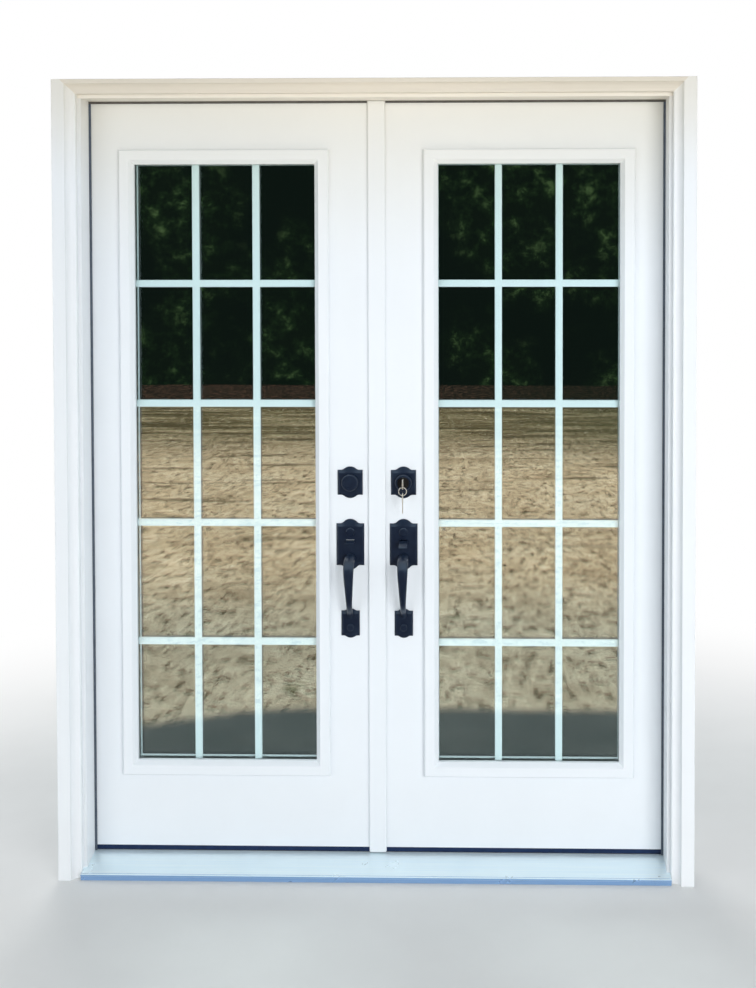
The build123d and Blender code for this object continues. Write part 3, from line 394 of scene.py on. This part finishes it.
dress(
    metal(
        "lock_face", bright=(0.2, 0.19, 0.18), dark=(0.1, 0.095, 0.09), roughness=0.34,
        stretch=(900, 60, 900),
    ),
    "lock_cylinder", "lock_plug",
)
dress(
    metal(
        "key_nickel", bright=(0.86, 0.8, 0.7), dark=(0.7, 0.63, 0.52), roughness=0.3,
        stretch=(400, 60, 60), metallic=0.55,
    ),
    "key", "spare_key", "key_ring",
)
dress(clear_glass("float_glass"), "left_panes", "right_panes")


# Stage

# Painted shade: the dark of an unlit room, shown where rays have passed through a pane
DARK_ROOM_SHADE = (0.003, 0.0055, 0.0045)
STAGE_WIDTH = 60
FLOOR_Z = -0.0005
FLOOR_FADE = (1.1, 2.9)


def stage_plane(name, size, place, turn=(0, 0, 0)):
    """A flat stage card."""
    half_x, half_y = size[0] / 2, size[1] / 2
    mesh = bpy.data.meshes.new(name)
    mesh.from_pydata(
        [(-half_x, -half_y, 0), (half_x, -half_y, 0), (half_x, half_y, 0), (-half_x, half_y, 0)],
        [], [(0, 1, 2, 3)],
    )
    card = bpy.data.objects.new(name, mesh)
    card.location = place
    card.rotation_euler = turn
    bpy.context.scene.collection.objects.link(card)
    return card


def through_glass(tree, path):
    """1 for a ray that has passed through a pane, else 0."""
    return math_node(tree, "GREATER_THAN", path.outputs["Transparent Depth"], 0.5)


def floor_material():
    """A plain pale floor that fades to the white background away from the object, and glows
    with a painted dark room shade where it is seen through a pane."""
    material, tree, shader = new_material("pale_floor")
    shader.inputs["Roughness"].default_value = 0.85
    cloud = noise(tree, object_coords(tree), 3, 4)
    base = ramp(tree, cloud, [(0.3, (0.8, 0.8, 0.79)), (0.7, (0.84, 0.84, 0.83))])
    feed(tree, shader.inputs["Base Color"], base)
    path = tree.nodes.new("ShaderNodeLightPath")
    coords = tree.nodes.new("ShaderNodeTexCoord")
    length = tree.nodes.new("ShaderNodeVectorMath")
    length.operation = "LENGTH"
    tree.links.new(coords.outputs["Object"], length.inputs[0])
    far = span(tree, length.outputs["Value"], *FLOOR_FADE)
    seen = math_node(tree, "ADD", path.outputs["Is Camera Ray"], path.outputs["Is Glossy Ray"])
    faded = mix_shader(
        tree, math_node(tree, "MULTIPLY", far, seen), shader.outputs[0],
        light_shader(tree, "Emission", (1, 1, 1)),
    )
    behind = mix_shader(
        tree, math_node(tree, "MULTIPLY", through_glass(tree, path), seen), faded,
        light_shader(tree, "Emission", DARK_ROOM_SHADE),
    )
    feed(tree, tree.nodes["Material Output"].inputs["Surface"], behind)
    return material


floor = stage_plane("stage_floor", (STAGE_WIDTH, STAGE_WIDTH), (0, 0, FLOOR_Z))
floor.data.materials.append(floor_material())


def painted_reflection_card(card, paint, dull, strength):
    """Makes a card glow as a painted reflection that glass alone shows in full. Duller surfaces
    see one plain dark colour there.
    """
    material = bpy.data.materials.new(card.name)
    material.use_nodes = True
    tree = material.node_tree
    tree.nodes.clear()
    output = tree.nodes.new("ShaderNodeOutputMaterial")
    path = tree.nodes.new("ShaderNodeLightPath")
    colour = blend(tree, path.outputs["Is Singular Ray"], dull, paint(tree))
    feed(tree, output.inputs["Surface"], light_shader(tree, "Emission", colour, strength))
    card.data.materials.append(material)
    for kind in ("camera", "diffuse", "transmission", "volume_scatter", "shadow"):
        setattr(card, f"visible_{kind}", False)


GLASS_Y = 0.08
GROUND_NEAR, GROUND_FAR = -0.12, -15.0
GROUND_MID = (GROUND_NEAR + GROUND_FAR) / 2

# Where the ground changes, in metres away from the glass
SHADE_ENDS = (1.2, 1.33)
TAN_BEGINS = (2.0, 3.8)
RUTS_BEGIN = (1.5, 7.0)
OLIVE_BEGINS = (6.6, 10.0)
DIM_BEGINS = (6.0, 9.0)
LITTER_BEGINS = (11.5, 12.5)


def ground_paint(tree):
    """A painted reflection of sand with dark flecks, greyer near the sill, greener and darker
    further off, leaf litter at its far edge and a painted shadow by the sill."""
    across = axis_value(tree, X)
    away = math_node(tree, "SUBTRACT", GLASS_Y - GROUND_MID, axis_value(tree, Y))
    patches = noise(tree, object_coords(tree), 1.5, 10, 0.74)
    rough = noise(tree, object_coords(tree, (1.8, 0.9, 1)), 9, 8, 0.85)
    ruts = noise(tree, object_coords(tree, (0.6, 2.6, 1)), 1.3, 6, 0.7)
    flecks = noise(tree, object_coords(tree, (1.1, 0.8, 1)), 16, 4, 0.7)
    tan = ramp(tree, patches, [
        (0.35, (0.56, 0.38, 0.23)), (0.5, (0.78, 0.56, 0.36)), (0.64, (0.92, 0.7, 0.48)),
    ])
    grey = ramp(tree, patches, [
        (0.35, (0.42, 0.33, 0.23)), (0.5, (0.58, 0.48, 0.35)), (0.64, (0.68, 0.58, 0.44)),
    ])
    olive = ramp(tree, ruts, [
        (0.38, (0.06, 0.05, 0.02)), (0.5, (0.2, 0.145, 0.07)), (0.6, (0.46, 0.35, 0.21)),
    ])
    base = blend(tree, span(tree, away, *TAN_BEGINS), grey, tan)
    base = blend(tree, span(tree, away, *OLIVE_BEGINS), base, olive)

    crumbs = span(tree, rough, 0.55, 0.64, 0.0, 0.4)
    base = blend(tree, crumbs, base, (0.95, 0.76, 0.55))
    pits = span(tree, rough, 0.41, 0.475, 0.75, 0.0)
    base = blend(tree, pits, base, (0.08, 0.05, 0.025))
    dark_flecks = span(tree, flecks, 0.4, 0.44, 0.9, 0.0)
    base = blend(tree, dark_flecks, base, (0.1, 0.07, 0.04))
    pale_flecks = span(tree, flecks, 0.57, 0.64, 0.0, 0.5)
    base = blend(tree, pale_flecks, base, (1.0, 0.84, 0.62))
    grooves = span(tree, ruts, 0.4, 0.45, 0.8, 0.0)
    lines = math_node(tree, "MULTIPLY", grooves, span(tree, away, *RUTS_BEGIN, 0.1, 1.0))
    base = blend(tree, lines, base, (0.12, 0.085, 0.045))
    weeds = span(tree, patches, 0.6, 0.66)
    tufts = math_node(tree, "MULTIPLY", weeds, span(tree, away, 1.2, 3.0, 0.8, 0.3))
    base = blend(tree, tufts, base, (0.1, 0.11, 0.04))

    litter = ramp(tree, rough, [
        (0.4, (0.006, 0.006, 0.004)), (0.5, (0.02, 0.014, 0.01)), (0.6, (0.16, 0.075, 0.05)),
    ])
    litter = blend(tree, span(tree, across, -1.0, 1.5, 0.0, 0.65), litter, (0.008, 0.011, 0.006))
    dim = math_node(
        tree, "MULTIPLY", span(tree, across, 0.0, 2.0, 0.0, 0.4), span(tree, away, *DIM_BEGINS)
    )
    base = blend(tree, dim, base, (0.1, 0.1, 0.05))
    base = blend(tree, span(tree, away, *LITTER_BEGINS), base, litter)

    edge = math_node(tree, "ADD", away, span(tree, across, -1.1, -0.35, 0.2, 0.0))
    edge = math_node(tree, "ADD", edge, math_node(tree, "MULTIPLY", ruts, 0.15))
    shade = ramp(tree, patches, [(0.3, (0.08, 0.093, 0.093)), (0.7, (0.148, 0.153, 0.148))])
    return blend(tree, span(tree, edge, *SHADE_ENDS), shade, base)


def tree_paint(tree):
    """A painted reflection of a dark wood with faint leaves."""
    leaves = noise(tree, object_coords(tree), 3.2, 8, 0.72)
    crowns = noise(tree, object_coords(tree), 0.5, 3)
    dark = ramp(tree, leaves, [
        (0.46, (0.005, 0.008, 0.004)), (0.56, (0.012, 0.024, 0.008)), (0.66, (0.09, 0.14, 0.05)),
    ])
    return blend(tree, span(tree, crowns, 0.4, 0.56), (0.004, 0.006, 0.004), dark)


# The ground and tree cards glow only in reflections: a painted reflection of a yard
GROUND_Z = 0.01
TREES_TALL = 8
ground = stage_plane(
    "stage_ground_reflection", (STAGE_WIDTH, GROUND_NEAR - GROUND_FAR), (0, GROUND_MID, GROUND_Z)
)
painted_reflection_card(ground, ground_paint, dull=(0.012, 0.01, 0.009), strength=4.75)
trees = stage_plane(
    "stage_trees_reflection", (STAGE_WIDTH, TREES_TALL), (0, GROUND_FAR, TREES_TALL / 2),
    (math.radians(90), 0, 0),
)
painted_reflection_card(trees, tree_paint, dull=(0.005, 0.008, 0.012), strength=3.2)


# Light

SKY_LIGHT, SKY_LIGHT_STRENGTH = (0.92, 0.965, 1.0), 0.52
SKY_MIRRORED = (0.66, 0.85, 1.0)

world = bpy.data.worlds.new("studio")
world.use_nodes = True
bpy.context.scene.world = world
sky = world.node_tree
sky.nodes.clear()
sky_out = sky.nodes.new("ShaderNodeOutputWorld")
sky_path = sky.nodes.new("ShaderNodeLightPath")
sky_tint = blend(sky, sky_path.outputs["Is Glossy Ray"], (1, 1, 1), SKY_MIRRORED)
sky_seen = math_node(
    sky, "ADD", sky_path.outputs["Is Camera Ray"], sky_path.outputs["Is Glossy Ray"]
)
sky_seen = math_node(sky, "ADD", sky_seen, sky_path.outputs["Is Transmission Ray"])
sky_outdoors = mix_shader(
    sky, sky_seen, light_shader(sky, "Background", SKY_LIGHT, SKY_LIGHT_STRENGTH),
    light_shader(sky, "Background", sky_tint),
)
# Painted dark room shade behind the panes
sky_indoors = mix_shader(
    sky, math_node(sky, "MULTIPLY", through_glass(sky, sky_path), sky_seen), sky_outdoors,
    light_shader(sky, "Background", DARK_ROOM_SHADE),
)
sky.links.new(sky_indoors, sky_out.inputs["Surface"])


def area_light(name, place, target, size, power, colour, spread=180):
    """A soft square lamp that points at a target."""
    lamp = bpy.data.lights.new(name, "AREA")
    lamp.shape = "SQUARE"
    lamp.size = size
    lamp.energy = power
    lamp.color = colour
    lamp.spread = math.radians(spread)
    lamp_object = bpy.data.objects.new(name, lamp)
    lamp_object.location = place
    aim = Vector(target) - Vector(place)
    lamp_object.rotation_euler = aim.to_track_quat("-Z", "Y").to_euler()
    lamp_object.visible_glossy = False
    bpy.context.scene.collection.objects.link(lamp_object)


area_light(
    "key", (2.5, -4.2, 1.5), (0.1, 0, 0.7), size=2.6, power=32, colour=(0.98, 0.99, 1.0), spread=86
)
area_light(
    "fill", (-3.0, -4.0, 1.2), (-0.1, 0, 0.7), size=3.0, power=15, colour=(0.94, 0.975, 1.0),
    spread=86,
)
area_light(
    "bounce", (0.1, -0.9, 0.15), (0, 0.02, 2.1), size=1.2, power=1.1, colour=(1.0, 0.86, 0.68),
    spread=50,
)
area_light("back", (-1.5, 4.5, 3.5), (0, 0, 1.0), size=3.0, power=130, colour=(1.0, 0.99, 0.97))


# Camera at the photograph's place

CAMERA_PLACE = (0.299, -3.3285, 1.5848)
YAW, PITCH, ROLL = math.radians(-1.269), math.radians(-1.566), math.radians(-0.055)
FOCAL_PX, SHIFT_X_PX, SHIFT_Y_PX = 1280.9, 82.5, -182.5
FRAME_TALL_PX = 988.0
SENSOR_MM = 36.0

forward = Vector((
    math.sin(YAW) * math.cos(PITCH), math.cos(YAW) * math.cos(PITCH), math.sin(PITCH)
))
right = Vector((math.cos(YAW), -math.sin(YAW), 0))
up = right.cross(forward)
right_rolled = math.cos(ROLL) * right + math.sin(ROLL) * up
up_rolled = -math.sin(ROLL) * right + math.cos(ROLL) * up
camera_turn = Matrix((right_rolled, up_rolled, -forward)).transposed().to_4x4()

camera_data = bpy.data.cameras.new("camera")
camera_data.sensor_width = SENSOR_MM
camera_data.sensor_fit = "AUTO"
camera_data.lens = FOCAL_PX / FRAME_TALL_PX * SENSOR_MM
camera_data.shift_x = -SHIFT_X_PX / FRAME_TALL_PX
camera_data.shift_y = SHIFT_Y_PX / FRAME_TALL_PX
camera = bpy.data.objects.new("camera", camera_data)
camera.matrix_world = Matrix.Translation(CAMERA_PLACE) @ camera_turn
bpy.context.scene.collection.objects.link(camera)
bpy.context.scene.camera = camera
bpy.context.scene.view_settings.view_transform = "Standard"
